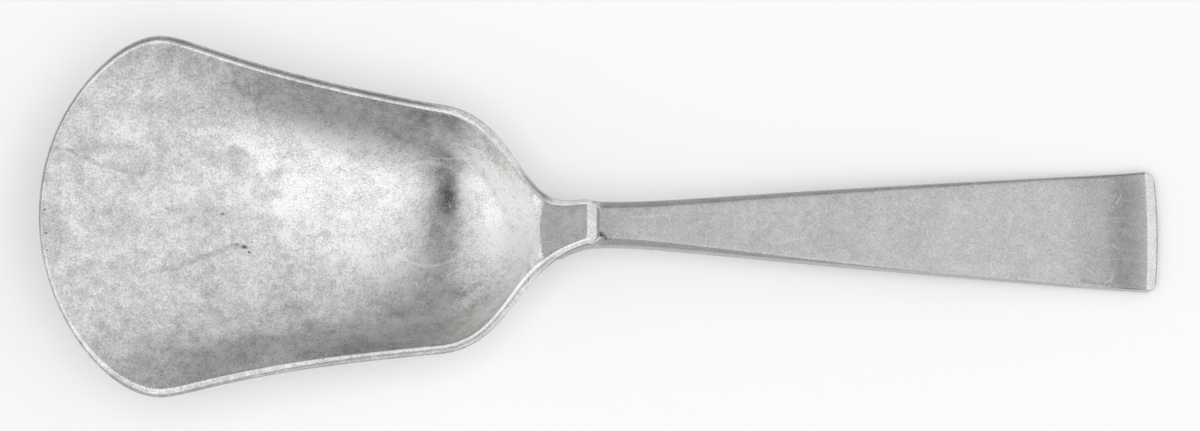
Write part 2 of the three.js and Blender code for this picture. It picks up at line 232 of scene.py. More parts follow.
def bezier(points, u):
    """Place and unit tangent on a cubic curve."""
    v = 1.0 - u
    a, b, c, d = points
    place = a * v ** 3 + b * 3 * v * v * u + c * 3 * v * u * u + d * u ** 3
    speed = (b - a) * v * v + (c - b) * 2 * v * u + (d - c) * u * u
    return place, speed.normalized()


def rounded(before, corner, after, size, steps):
    """Points that soften a corner, from the side of before to the side of after."""
    back = before - corner
    ahead = after - corner
    start = corner + back * min(0.5, size / max(back.length, TINY))
    end = corner + ahead * min(0.5, size / max(ahead.length, TINY))
    points = []
    for i in range(steps + 1):
        u = i / steps
        points.append(start * (1 - u) ** 2 + corner * 2 * u * (1 - u) + end * u * u)
    return points


class BowlForm:
    """Outline and heights of the bowl, measured back from the tip."""

    TIP_HOLD = 0.58
    CORNER_HOLD = (0.4, 0.11)
    HEEL_HOLD = (0.75, 0.54)
    HEEL_TAPER = -0.133
    NECK_HOLD = 0.42
    NECK_TAPER = -0.206
    BOW_PEAK = 6.75
    FAN_FOCUS = 1.6
    FAN_BLEND = 0.6
    LAND_SLANT = 0.5
    STEPS = (44, 48, 48, 10, 5)
    TABLE_STEPS = 160
    FLOOR_RINGS = 30
    UNDER_RINGS = 22
    ROUND_STEPS = 4
    CREASE = 0.14 * MM
    # Extra rows beside the pad's front edge and the tongue's end bevel, counted in creases.
    PAD_ROWS = range(-1, 7)
    BEVEL_ROWS = range(-1, 2)
    ROW_GAP = 0.4
    HALVINGS = 48
    SLOPE_STEP = 0.01 * MM
    PAD_CORNER_POWER = 4
    # Limits of the worn roundings as shares of the land and of the outer side.
    LIP_ROUND = 0.35
    OUTER_ROUND = 0.8
    SIDE_ROUND = 0.45
    # Rim shares that the finish reads for its painted highlight and painted shade: the inner lip, the outer
    # corner and the outer side.
    LIP_SHARES = (0.15, 0.35)
    OUTER_SHARES = (0.6, 0.8)
    SIDE_SHARE = 1.0
    UNDER_GAP = 0.1 * MM

    def __init__(self, sizes):
        self.__dict__.update(plain_values(sizes))
        self.pad_at = self.length - self.pad_length
        self.neck_at = self.length - self.tongue_length
        self.heel_at = self.length - self.heel_to_end
        self.deepest_at = self.length - self.deepest_to_end
        self.twisted_at = self.pad_at - self.twist_end
        self.lap_z = self.neck_height - self.sheet
        self.belly_z = self.sheet - self.belly_flat
        self.curves = self.outline_curves()
        self.table = self.width_table()

    def outline_curves(self):
        half = self.width / 2
        neck_half = self.neck_width / 2
        side = self.heel_at - self.widest_at
        turn = self.neck_at - self.heel_at
        tip = Vector((0.0, 0.0))
        widest = Vector((self.widest_at, half))
        heel = Vector((self.heel_at, self.heel_width / 2))
        neck = Vector((self.neck_at, neck_half + self.tongue_taper))
        corner = Vector((self.length - self.tongue_corner, neck_half))
        end = Vector((self.length, neck_half - self.tongue_corner))

        def along(place, run, slope):
            return place + Vector((run, run * slope))

        def straight(a, b):
            return (a, a.lerp(b, 1 / 3), a.lerp(b, 2 / 3), b)

        front_hold, side_hold = self.CORNER_HOLD
        tip_hold = Vector((0.0, half * self.TIP_HOLD))
        return (
            (tip, tip_hold, along(widest, -self.widest_at * front_hold, 0), widest),
            (widest, along(widest, side * side_hold, 0),
             along(heel, -side * self.HEEL_HOLD[0], self.HEEL_TAPER), heel),
            (heel, along(heel, turn * self.HEEL_HOLD[1], self.HEEL_TAPER),
             along(neck, -turn * self.NECK_HOLD, self.NECK_TAPER), neck),
            straight(neck, corner),
            straight(corner, end),
        )

    def rows(self):
        """Outline rows, with extra rows close beside the pad's front edge and the tongue's end bevel."""
        rows = []
        edges = {2: (self.pad_at, self.PAD_ROWS), 3: (self.length - self.end_bevel, self.BEVEL_ROWS)}
        for c, curve in enumerate(self.curves):
            steps = self.STEPS[c]
            shares = [i / steps for i in range(0 if c == 0 else 1, steps + 1)]
            if c in edges:
                place, sides = edges[c]
                extra = [self.reached(curve, place + side * self.CREASE) for side in sides]
                gap = self.ROW_GAP / steps
                shares = [u for u in shares if u == 1.0 or all(abs(u - e) > gap for e in extra)]
                shares = sorted(shares + extra)
            for u in shares:
                rows.append(bezier(curve, u))
        return rows

    def reached(self, curve, at):
        """Share of a curve at which it has come a given way back from the tip."""
        low, high = 0.0, 1.0
        for _ in range(self.HALVINGS):
            middle = (low + high) / 2
            if bezier(curve, middle)[0].x < at:
                low = middle
            else:
                high = middle
        return low

    def width_table(self):
        """Half widths of the outline and of the inside of its land, from the widest line to the end."""
        def entry(curve, u):
            place, tangent = bezier(curve, u)
            land = self.rim_width(place.x) / max(tangent.x, self.LAND_SLANT)
            return place.x, place.y, place.y - land

        steps = self.TABLE_STEPS
        table = [entry(curve, i / steps) for curve in self.curves[1:] for i in range(steps)]
        return table + [entry(self.curves[-1], 1.0)]

    def width_at(self, at, column):
        i = bisect_left(self.table, (at,))
        if i <= 0:
            return self.table[0][column]
        if i >= len(self.table):
            return self.table[-1][column]
        a, b = self.table[i - 1], self.table[i]
        return lerp(a[column], b[column], (at - a[0]) / (b[0] - a[0]))

    def floor_line(self, at):
        back = at - self.deepest_at
        blend = self.belly_blend
        if back <= 0:
            fall = (self.tip_height - self.belly_z) / (math.hypot(self.deepest_at, blend) - blend)
            return self.belly_z + fall * (math.hypot(back, blend) - blend)
        run = self.pad_at - self.deepest_at
        u = back / run
        rise = self.neck_height - self.belly_z
        return self.belly_z + rise * u * u * (3 - 2 * u) + self.heel_slope * run * u * u * (u - 1)

    def floor_slope(self, at):
        step = self.SLOPE_STEP
        return (self.floor_line(at + step) - self.floor_line(at - step)) / (2 * step)

    def padded_floor(self, at):
        floor = self.floor_line(at)
        return floor if at < self.deepest_at else min(floor, self.neck_height)

    def inside_floor(self, at):
        past = clamp(at - (self.length - self.end_bevel), 0.0, self.end_bevel)
        return self.padded_floor(at) - past * (self.sheet - self.end_edge) / self.end_bevel

    def outside_floor(self, at):
        under = self.floor_line(at) - self.sheet * math.hypot(1.0, self.floor_slope(at))
        return under if at < self.deepest_at else min(under, self.lap_z)

    def rim_line(self, at):
        ahead = max(0.0, 1 - at / self.pad_at)
        bow = self.rim_bow * self.BOW_PEAK * ahead * ahead * (1 - ahead)
        return self.neck_height + (self.tip_height - self.neck_height) * ahead + bow

    def rim_width(self, at):
        front = lerp(self.tip_land, self.rim_land, smoothstep(at, 0.0, self.widest_at))
        return lerp(front, self.tongue_bevel, smoothstep(at, self.twisted_at, self.neck_at))

    def lean_at(self, at):
        def turned(place):
            return 0.5 * (place + self.heel_at - math.hypot(place - self.heel_at, self.lean_blend))

        shift = turned(at) - turned(self.widest_at)
        return -self.lean * shift * (1 - smoothstep(at, self.pad_at, self.length))

    def on_tongue(self, at):
        return smoothstep(at, self.twisted_at - self.twist_length, self.twisted_at)

    def land_drop(self, at):
        """Fall of the rim's land: nearly level on the bowl, steep at the neck, a bevel on the tongue."""
        twisted = lerp(self.rim_drop, self.twist_drop, self.on_tongue(at))
        return lerp(twisted, self.tongue_drop, smoothstep(at, self.twisted_at, self.neck_at))

    def inside_height(self, at, y):
        out = min(1.0, y / self.width_at(at, 2))
        near_pad = smoothstep(at, self.pad_at - 2 * self.pad_corner, self.pad_at)
        worn = at - self.pad_corner * near_pad * out ** self.PAD_CORNER_POWER
        here = min(at, worn) if at < self.pad_at + self.pad_corner else at
        floor = self.padded_floor(here)
        wall = self.rim_line(at) - floor
        return floor - self.padded_floor(at) + self.inside_floor(at) + wall * out ** self.wall_power

    def outside_height(self, at, y):
        edge = lerp(self.rim_edge, self.sheet, self.on_tongue(at))
        floor = self.outside_floor(at)
        wall = max(0.0, self.rim_line(at) - edge - floor)
        return max(0.0, floor + wall * min(1.0, y / self.width_at(at, 1)) ** self.wall_power)

    def rib(self, place, tangent):
        """Points (at, y, z, rim share) from the middle line out over the rim and back underneath."""
        at, half = place
        focus = self.widest_at * self.FAN_FOCUS
        spine = 0.5 * (at + focus + math.hypot(at - focus, self.widest_at * self.FAN_BLEND))
        start = lerp(spine, at, smoothstep(at, self.widest_at, self.heel_at))
        run = Vector((at - start, half))
        reach = run.length
        facing = abs(run.x * tangent.y - run.y * tangent.x) / reach
        land = self.rim_width(at) / max(facing, self.LAND_SLANT)
        inner = reach - land
        ahead = run / reach
        fit = 1.0
        if at >= self.widest_at:
            fit = half * inner / reach / self.width_at(start + ahead.x * inner, 2)

        def inside(s):
            here = start + ahead.x * s
            return self.inside_height(here, ahead.y * s / lerp(1.0, fit, s / inner))

        def outside(s):
            return self.outside_height(start + ahead.x * s, ahead.y * s)

        soft = min(self.rim_round, self.LIP_ROUND * land)
        wall_end = inner - soft
        low = outside(reach)
        crest = inside(inner) - self.land_drop(at)
        crest = max(crest, low + self.end_edge / 2)
        places = [wall_end * i / self.FLOOR_RINGS for i in range(self.FLOOR_RINGS + 1)]
        points = [(s, inside(s), 0.0) for s in places]
        wall = Vector((wall_end, inside(wall_end)))
        lip = Vector((inner, inside(inner)))
        outer = Vector((reach, crest))
        foot = Vector((reach, low))
        inward = Vector((inner, outside(inner)))
        edge_soft = min(soft * self.OUTER_ROUND, (crest - low) * self.SIDE_ROUND)
        for k, p in enumerate(rounded(wall, lip, outer, soft, self.ROUND_STEPS)[1:]):
            points.append((p.x, p.y, lerp(*self.LIP_SHARES, k / (self.ROUND_STEPS - 1))))
        for k, p in enumerate(rounded(lip, outer, foot, edge_soft, self.ROUND_STEPS)):
            points.append((p.x, p.y, lerp(*self.OUTER_SHARES, k / self.ROUND_STEPS)))
        for p in rounded(outer, foot, inward, edge_soft, self.ROUND_STEPS):
            points.append((p.x, p.y, self.SIDE_SHARE))
        under_from = points[-1][0] - self.UNDER_GAP
        for i in range(self.UNDER_RINGS + 1):
            s = under_from * (1 - i / self.UNDER_RINGS)
            points.append((s, outside(s), 0.0))
        return [(start + ahead.x * s, ahead.y * s, z, rim) for s, z, rim in points]

    def mesh(self):
        """Vertices and faces of the whole bowl, with the rim share and the wall share of each vertex."""
        ribs = [self.rib(*row) for row in self.rows()]
        rings = len(ribs[0])
        vertices, shares, walls = [], [], []
        sides = ([], [])
        for i, rib in enumerate(ribs):
            for j, (at, y, z, rim) in enumerate(rib):
                middle = i == 0 or j in (0, rings - 1)
                for s, sign in enumerate((1, -1)):
                    if middle and s == 1:
                        sides[1].append(sides[0][-1])
                        continue
                    sides[s].append(len(vertices))
                    across = 0.0 if middle else sign * y
                    vertices.append((TIP_X + at, across + self.lean_at(at), z))
                    shares.append(rim)
                    walls.append(min(1.0, y / self.width_at(at, 2)))
        faces = []
        for s, side in enumerate(sides):
            for i in range(len(ribs) - 1):
                for j in range(rings - 1):
                    a, b = i * rings + j, (i + 1) * rings + j
                    loop = [side[a], side[b], side[b + 1], side[a + 1]]
                    loop = list(dict.fromkeys(loop))
                    faces.append(loop if s == 0 else loop[::-1])
        last = (len(ribs) - 1) * rings
        near = [sides[0][last + j] for j in range(rings)]
        far = [sides[1][last + j] for j in range(rings - 2, 0, -1)]
        faces.append((near + far)[::-1])
        return vertices, faces, shares, walls


def loft(rings):
    """Vertices of a run of closed rings, the faces between the rings, and the size of a ring."""
    size = len(rings[0])
    vertices = [p for ring in rings for p in ring]
    faces = []
    for i in range(len(rings) - 1):
        for j in range(size):
            a, b = i * size + j, i * size + (j + 1) % size
            faces.append((a, b, b + size, a + size))
    return vertices, faces, size


class HandleForm:
    """Side lines and rings of the handle bar, measured from the tongue's end."""

    NOSE_STEPS = 12
    BAR_STEPS = 96
    REST_STEPS = 24
    CURL_STEPS = 22
    END_STEPS = 16
    FLAT_STEPS = 8
    ROUND_STEPS = 3
    # Edge shares that the finish reads for its painted shade, before and after each corner of a ring.
    EDGE_SHARES = (
        (0.6, 0.5), (0.3, 0.0), (0.0, 0.3), (0.5, 0.6), (1.0, 1.0), (1.0, 0.0), (0.0, 1.0), (1.0, 1.0),
    )
    # Corners of a ring after which a broad flat follows.
    FLATS = (1, 5)
    REST_REACH = 3
    # Length at the end over which the edge share is raised to the painted dark line.
    END_LINE = 0.14 * MM
    CHAMFER_LIMIT = 0.4
    UNDER_LIMIT = 0.3
    CREASE = 0.1 * MM

    def __init__(self, sizes, bowl, solder):
        self.__dict__.update(plain_values(sizes))
        self.bowl = bowl
        self.seat_z = bowl.lap_z - solder.film
        self.neck_half = bowl.neck_width / 2
        self.neck_under = self.seat_z - self.neck_thick
        run = math.hypot(self.lowest_at, self.rest_bend) - self.rest_bend - self.neck_bend / 2
        self.fall = (self.neck_under + self.rest_sink) / run
        self.lap = bowl.pad_length - self.nose_gap
        self.last = self.reach - self.end_bow
        self.bevel_from = self.last - self.end_bevel

    def line(self, along):
        """Side line of the bar's underside before the table flattens it."""
        past = along - self.lowest_at
        if past > 0:
            return self.curl_radius - math.sqrt(self.curl_radius ** 2 - past ** 2) - self.rest_sink
        level = self.fall * (math.hypot(past, self.rest_bend) - self.rest_bend) - self.rest_sink
        start = max(0.0, 1 - along / self.neck_bend)
        return level - self.fall * self.neck_bend / 2 * start * start

    def under(self, along):
        if along < 0:
            full = math.sqrt(max(0.0, 1 - (along / self.lap) ** 2))
            return self.seat_z - self.nose_edge - (self.neck_thick - self.nose_edge) * full
        return max(0.0, self.line(along))

    def top(self, along):
        if along <= self.seat_overrun:
            return self.seat_z
        thick = lerp(self.neck_thick, self.end_thick, along / self.reach)
        past = max(0.0, along - self.bevel_from)
        return self.line(along) + thick - past * self.end_bevel_drop / self.end_bevel

    def nose_half(self, along):
        """Half width under the tongue, where the bar is spread flush with it and rounded at its nose."""
        flush = max(self.neck_half, self.bowl.width_at(self.bowl.length + along, 1) - self.nose_inset)
        past = max(0.0, self.nose_corner - self.lap - along)
        return flush - self.nose_corner + math.sqrt(max(0.0, self.nose_corner ** 2 - past ** 2))

    def half(self, along):
        if along < 0:
            return self.nose_half(along)
        drawn = along / self.waist_at
        waist = self.waist * drawn * math.exp(1 - drawn)
        taper = lerp(self.neck_half, self.end_width / 2, along / self.reach) - waist
        past = max(0.0, along - (self.last - self.end_corner))
        return taper - self.end_corner + math.sqrt(max(0.0, self.end_corner ** 2 - past ** 2))

    def stations(self):
        places = [-self.lap * math.cos(i / self.NOSE_STEPS * math.pi / 2) for i in range(self.NOSE_STEPS)]
        places += [0.0]
        blend_steps = self.NOSE_STEPS // 2
        places += [self.chamfer_blend * i / blend_steps for i in range(1, blend_steps)]
        places += [self.chamfer_blend]
        rest_from = self.lowest_at - self.REST_REACH * self.rest_bend
        runs = (
            (self.chamfer_blend, rest_from, self.BAR_STEPS),
            (rest_from, self.lowest_at, self.REST_STEPS),
            (self.lowest_at, self.bevel_from - self.CREASE, self.CURL_STEPS),
        )
        for begin, end, steps in runs:
            places += [lerp(begin, end, i / steps) for i in range(1, steps + 1)]
        places += [self.bevel_from, self.bevel_from + self.CREASE]
        begin = places[-1]
        for i in range(1, self.END_STEPS + 1):
            places.append(lerp(begin, self.last, math.sin(i / self.END_STEPS * math.pi / 2)))
        return places

    def ring(self, along):
        """Points across the top from one side to the other, then back underneath."""
        top, under, half = self.top(along), self.under(along), self.half(along)
        high = top - under
        free = smoothstep(along, -self.chamfer_blend, self.chamfer_blend)

        def chamfer(neck, end, run):
            return lerp(self.seat_chamfer, lerp(neck, end, clamp(along / run, 0.0, 1.0)), free)

        right = chamfer(self.neck_chamfer, self.end_chamfer, self.chamfer_run)
        left = chamfer(self.left_neck_chamfer, self.left_end_chamfer, self.left_chamfer_run)
        right_drop = min(right * self.chamfer_fall, high * self.CHAMFER_LIMIT)
        left_drop = min(left * self.chamfer_fall, high * self.CHAMFER_LIMIT)
        lift = min(self.under_chamfer, high * self.UNDER_LIMIT)
        flare = half + self.side_draft * high
        outline = [
            Vector((half, top - left_drop)), Vector((half - left, top)),
            Vector((right - half, top)), Vector((-half, top - right_drop)),
            Vector((-flare, under + lift)), Vector((self.under_chamfer - flare, under)),
            Vector((flare - self.under_chamfer, under)), Vector((flare, under + lift)),
        ]
        points, shares = [], []
        for k, corner in enumerate(outline):
            before, after = outline[k - 1], outline[(k + 1) % len(outline)]
            bend = rounded(before, corner, after, self.edge_round, self.ROUND_STEPS)
            points += bend
            begin, end = self.EDGE_SHARES[k]
            shares += [lerp(begin, end, i / self.ROUND_STEPS) for i in range(len(bend))]
            if k in self.FLATS:
                to = rounded(corner, after, outline[k + 2], self.edge_round, self.ROUND_STEPS)[0]
                points += [bend[-1].lerp(to, i / self.FLAT_STEPS) for i in range(1, self.FLAT_STEPS)]
                shares += [0.0] * (self.FLAT_STEPS - 1)
        # The end ring gets at least the painted dark line.
        if along > self.last - self.END_LINE:
            shares = [max(value, self.EDGE_SHARES[0][0]) for value in shares]
        bow = self.end_bow * smoothstep(along, self.lowest_at, self.last)
        shift = self.bowl.lean_at(self.bowl.length + along) if along < 0 else 0.0
        places = [(SHOULDER_X + along + bow * (1 - (p.x / flare) ** 2), p.x + shift, p.y) for p in points]
        return places, shares

    def mesh(self):
        """Vertices, faces and edge shares of the whole bar."""
        pairs = [self.ring(along) for along in self.stations()]
        vertices, faces, size = loft([ring for ring, _ in pairs])
        shares = [value for _, values in pairs for value in values]
        for start, flip in ((0, False), (len(vertices) - size, True)):
            for k in range(size // 2 - 1):
                quad = (start + k, start + size - 1 - k, start + size - 2 - k, start + k + 1)
                faces.append(quad[::-1] if flip else quad)
        return vertices, faces, shares


class SolderForm:
    """The solder film in the lap, which follows the tongue, with its hollow bead behind the tongue's end."""

    ACROSS = 12
    FILM_STEPS = 16
    BEAD_STEPS = 6

    def __init__(self, sizes, bowl, handle):
        self.__dict__.update(plain_values(sizes))
        self.bowl = bowl
        self.handle = handle
        self.top_z = bowl.lap_z
        self.seat_z = handle.seat_z

    def stations(self):
        """Film stations under the tongue, then the bead behind the tongue's end."""
        front = self.handle.nose_corner / 2 - self.handle.lap
        film_end = -self.bowl.tongue_corner
        places = [lerp(front, film_end, i / self.FILM_STEPS) for i in range(self.FILM_STEPS + 1)]
        places += [lerp(film_end, 0.0, i / self.BEAD_STEPS) for i in range(1, self.BEAD_STEPS + 1)]
        places += [self.bead * i / self.BEAD_STEPS for i in range(1, self.BEAD_STEPS + 1)]
        return places

    def ring(self, along):
        at = min(self.bowl.length + along, self.bowl.length)
        half = min(self.bowl.width_at(at, 1), self.handle.half(along)) - self.inset
        run = clamp(along / self.bead, 0.0, 1.0)
        top = lerp(self.top_z, self.seat_z + self.edge, 1 - (1 - run) ** 2)
        half -= run * self.bead / 2
        outline = [(half * (2 * i / self.ACROSS - 1), top) for i in range(self.ACROSS + 1)]
        outline += [(half * (1 - 2 * i / self.ACROSS), self.seat_z) for i in range(self.ACROSS + 1)]
        shift = self.bowl.lean_at(at)
        return [(SHOULDER_X + along, y + shift, z) for y, z in outline]

    def mesh(self):
        """Vertices and faces of the whole seam."""
        vertices, faces, size = loft([self.ring(along) for along in self.stations()])
        faces.append(tuple(range(size))[::-1])
        faces.append(tuple(len(vertices) - size + j for j in range(size)))
        return vertices, faces


def make_piece(name, vertices, faces, smooth_angle):
    """A piece from its vertices and faces, which faces outwards and is smooth but for its sharp edges."""
    mesh = bpy.data.meshes.new(name)
    mesh.from_pydata(vertices, [], faces)
    mesh.validate()
    shell = bmesh.new()
    shell.from_mesh(mesh)
    bmesh.ops.recalc_face_normals(shell, faces=shell.faces)
    shell.to_mesh(mesh)
    shell.free()
    mesh.shade_smooth()
    mesh.set_sharp_from_angle(angle=math.radians(smooth_angle))
    piece = bpy.data.objects.new(name, mesh)
    bpy.context.scene.collection.objects.link(piece)
    return piece


def keep_shares(piece, name, shares):
    """Keeps for each vertex how far out it lies on the piece's filed edges or up its wall."""
    if len(piece.data.vertices) != len(shares):
        raise RuntimeError("the mesh of %s lost vertices" % piece.name)
    piece.data.attributes.new(name, "FLOAT", "POINT").data.foreach_set("value", shares)


# Finishes.

FLAT = (1.0, 1.0, 0.0)
WHITE = (1.0, 1.0, 1.0)

# Noises: scale per millimetre, detail, roughness and distortion.
PATCHES = (0.23, 5.0, 0.62, 0.4)
MOTTLE = (1.1, 4.0, 0.62, 0.3)
GRAIN = (5.0, 3.0, 0.7)
WAVES = (0.3, 2.0, 0.5)
SPECKS = (5.5, 1.0)
SPECK_GROUPS = (0.35, 2.0)
HAIRLINES = (1.0, 1.0, 0.5)
HAIRLINE_GROUPS = (0.11, 2.0, 0.5)
RING_BREAKS = (0.35, 2.0)
SOLDER_BLOTCHES = (1.6, 4.0, 0.6)
SOLDER_PORES = (7.0, 3.0, 0.6)

# Levels of those noises between which a mark comes up.
NOISE_RANGE = (0.3, 0.7)
SPECK_CUT = (0.69, 0.75)
SPECK_GROUP_CUT = (0.47, 0.62)
HAIRLINE_GROUP_CUT = (0.42, 0.6)
HAIRLINE_FADE = 0.06
RING_BREAK_CUT = (0.2, 0.5, 0.0, 0.6)
PORE_CUT = (0.6, 0.7)

# How marks fray: scale of the noise and reach in millimetres.
RAGGED = (2.2, 0.5)
FRAYED = (0.4, 1.6)

# Wear and painted light of the silver: tones multiply its colour, frosts add to its matt share, heights are
# in millimetres.
STAIN_TONE = 0.82
SCUFF_TONE = 0.855
# Painted highlight: the heel in front of the pad and the rub strokes on the walls are made paler.
RUB_HIGHLIGHT_TONE = 1.14
# Painted shade: the top of the bowl's wall is made darker.
WALL_TOP_SHADE = 0.9
RUB_FROST = 0.22
MARK_FROST = 0.35
PAD_FROST = 0.13
PAD_CALM = 0.4
PAD_HAIRLINES = 0.15
WALL_HAIRLINES = 0.1
HAIRLINE_SHARE = 0.5
PIT_COVER = 0.85
EDGE_ROUGH = 0.3
MOTTLE_ROUGH = (-0.03, 0.05)
MOTTLE_HEIGHT = 0.002
GRAIN_HEIGHT = 0.0022
PIT_DEPTH = 0.02
# Shares of the bowl's wall: its foot, below which hairlines run, and its top, which gets painted shade.
WALL_FOOT = (0.8, 0.6)
WALL_TOP = (0.8, 0.98)

# The solder: its silvery share, the cover of its dark pores, its roughness and its relief.
SOLDER_SHINE = (0.0, 0.35)
PORE_COVER = 0.7
SOLDER_ROUGH = (0.36, 0.55)
SOLDER_RELIEF = 0.01


class FinishTree:
    """Adds nodes to a material's or the world's tree and links them."""

    def __init__(self, tree):
        self.tree = tree
        tree.nodes.clear()

    def add(self, kind, sockets=None, **settings):
        node = self.tree.nodes.new(kind)
        for key, value in settings.items():
            setattr(node, key, value)
        for key, value in (sockets or {}).items():
            self.put(node.inputs[key], value)
        return node

    def put(self, socket, value):
        if isinstance(value, bpy.types.NodeSocket):
            self.tree.links.new(value, socket)
        elif isinstance(socket.default_value, (float, int)):
            socket.default_value = value
        else:
            socket.default_value = tuple(value) + ((1.0,) if len(socket.default_value) > len(value) else ())

    def math(self, operation, a, b=0.0, clamped=False):
        return self.add("ShaderNodeMath", {0: a, 1: b}, operation=operation, use_clamp=clamped).outputs[0]

    def times(self, a, b):
        return self.math("MULTIPLY", a, b)

    def fold(self, operation, values):
        result = values[0]
        for value in values[1:]:
            result = self.math(operation, result, value)
        return result

    def total(self, values):
        return self.fold("ADD", values)

    def product(self, values):
        return self.fold("MULTIPLY", values)

    def most(self, values):
        return self.fold("MAXIMUM", values)

    def vector(self, operation, a, b=(0.0, 0.0, 0.0)):
        return self.add("ShaderNodeVectorMath", {0: a, 1: b}, operation=operation).outputs["Vector"]

    def measure(self, operation, a, b=(0.0, 0.0, 0.0)):
        return self.add("ShaderNodeVectorMath", {0: a, 1: b}, operation=operation).outputs["Value"]

    def scaled(self, a, factor):
        node = self.add("ShaderNodeVectorMath", {0: a}, operation="SCALE")
        self.put(node.inputs["Scale"], factor)
        return node.outputs["Vector"]

    def spread(self, value, low, high, to_low=0.0, to_high=1.0, soft=True):
        sockets = {"Value": value, "From Min": low, "From Max": high, "To Min": to_low, "To Max": to_high}
        kind = "SMOOTHSTEP" if soft else "LINEAR"
        return self.add("ShaderNodeMapRange", sockets, interpolation_type=kind, clamp=True).outputs["Result"]

    def between(self, value, low, high):
        """Goes straight from low to high while the value goes from 0 to 1."""
        return self.spread(value, 0.0, 1.0, low, high, soft=False)

    def within(self, value, front, back):
        """1 between two soft edges, 0 outside them."""
        return self.times(self.spread(value, *front), self.spread(value, *back))

    def levels(self, value, steps, run="EASE"):
        """A smooth run of grey levels over a value from 0 to 1."""
        node = self.add("ShaderNodeValToRGB", {0: value})
        stops = node.color_ramp.elements
        node.color_ramp.interpolation = run
        for place, level in steps:
            stop = stops.new(place) if 0.0 < place < 1.0 else stops[0 if place == 0.0 else -1]
            stop.color = (level, level, level, 1.0)
        return node.outputs[0]

    def noise(self, place, scale, detail=3.0, rough=0.55, warp=0.0):
        sockets = {"Vector": place, "Scale": scale, "Detail": detail, "Roughness": rough, "Distortion": warp}
        return self.add("ShaderNodeTexNoise", sockets).outputs["Fac"]

    def jitter(self, place, scale, reach):
        """The place moved about by a noise, which frays the edges of marks."""
        sockets = {"Vector": place, "Scale": scale, "Detail": 3.0}
        noise = self.add("ShaderNodeTexNoise", sockets).outputs["Color"]
        aside = self.vector("SUBTRACT", noise, (0.5, 0.5, 0.5))
        moved = self.vector("ADD", place, self.scaled(aside, reach))
        return self.vector("MULTIPLY", moved, FLAT)

    def blend(self, factor, a, b):
        node = self.add("ShaderNodeMix", data_type="RGBA")
        for index, value in ((0, factor), (6, a), (7, b)):
            self.put(node.inputs[index], value)
        return node.outputs[2]

    def attribute(self, name):
        return self.add("ShaderNodeAttribute", attribute_name=name).outputs["Fac"]

    def surface(self, shader, output="ShaderNodeOutputMaterial"):
        self.tree.links.new(shader.outputs[0], self.add(output).inputs["Surface"])

    def metal(self, colour, metallic, rough, height):
        """A metal surface with a fine relief."""
        sockets = {"Strength": 1.0, "Distance": MM, "Height": height}
        bump = self.add("ShaderNodeBump", sockets).outputs["Normal"]
        sockets = {"Base Color": colour, "Metallic": metallic, "Roughness": rough, "Normal": bump}
        self.surface(self.add("ShaderNodeBsdfPrincipled", sockets))


def new_finish(name):
    material = bpy.data.materials.new(name)
    material.use_nodes = True
    return material, FinishTree(material.node_tree)


def place_in_mm(tree):
    coordinates = tree.add("ShaderNodeTexCoord").outputs["Object"]
    return tree.scaled(coordinates, 1 / MM)


def spot(tree, flat, centre, radius, soft):
    """1 inside a round mark, 0 outside."""
    away = tree.measure("DISTANCE", flat, (*centre, 0.0))
    return tree.spread(away, radius + soft, radius)


def stroke(tree, flat, begin, end, width, core=0.3):
    """1 along a single scratch, 0 away from it."""
    a, b = Vector((*begin, 0.0)), Vector((*end, 0.0))
    run = b - a
    from_start = tree.vector("SUBTRACT", flat, a)
    along = tree.measure("DOT_PRODUCT", from_start, run / run.length_squared)
    held = tree.math("ADD", along, 0.0, clamped=True)
    nearest = tree.scaled(tuple(run), held)
    away = tree.measure("DISTANCE", from_start, nearest)
    return tree.spread(away, width, width * core)


def hairlines(tree, place, angle, spacing, stretch, amount, seed, seed_slant=0.7, depth=50.0):
    """Sparse fine scratches that run at an angle to the spoon's length, in loose groups."""
    sockets = {
        "Vector": place,
        "Rotation": (0.0, 0.0, math.radians(angle)),
        "Location": (seed, seed * seed_slant, 0.0),
        "Scale": (stretch, spacing, depth),
    }
    turned = tree.add("ShaderNodeMapping", sockets, vector_type="TEXTURE").outputs["Vector"]
    lines = tree.spread(tree.noise(turned, *HAIRLINES), 1 - amount, 1 + HAIRLINE_FADE - amount)
    groups = tree.spread(tree.noise(turned, *HAIRLINE_GROUPS), *HAIRLINE_GROUP_CUT)
    return tree.times(lines, groups)


def water_ring(tree, flat, centre, radius, width, core=0.2):
    """A faint dried ring, thin and broken."""
    away = tree.measure("DISTANCE", flat, (*centre, 0.0))
    off = tree.math("ABSOLUTE", tree.math("SUBTRACT", away, radius))
    broken = tree.spread(tree.noise(flat, *RING_BREAKS), *RING_BREAK_CUT)
    return tree.times(tree.spread(off, width, width * core), broken)


def contrast(tree, noise, amount):
    """A factor around 1 from a noise around one half."""
    return tree.between(noise, 1 - amount / 2, 1 + amount / 2)


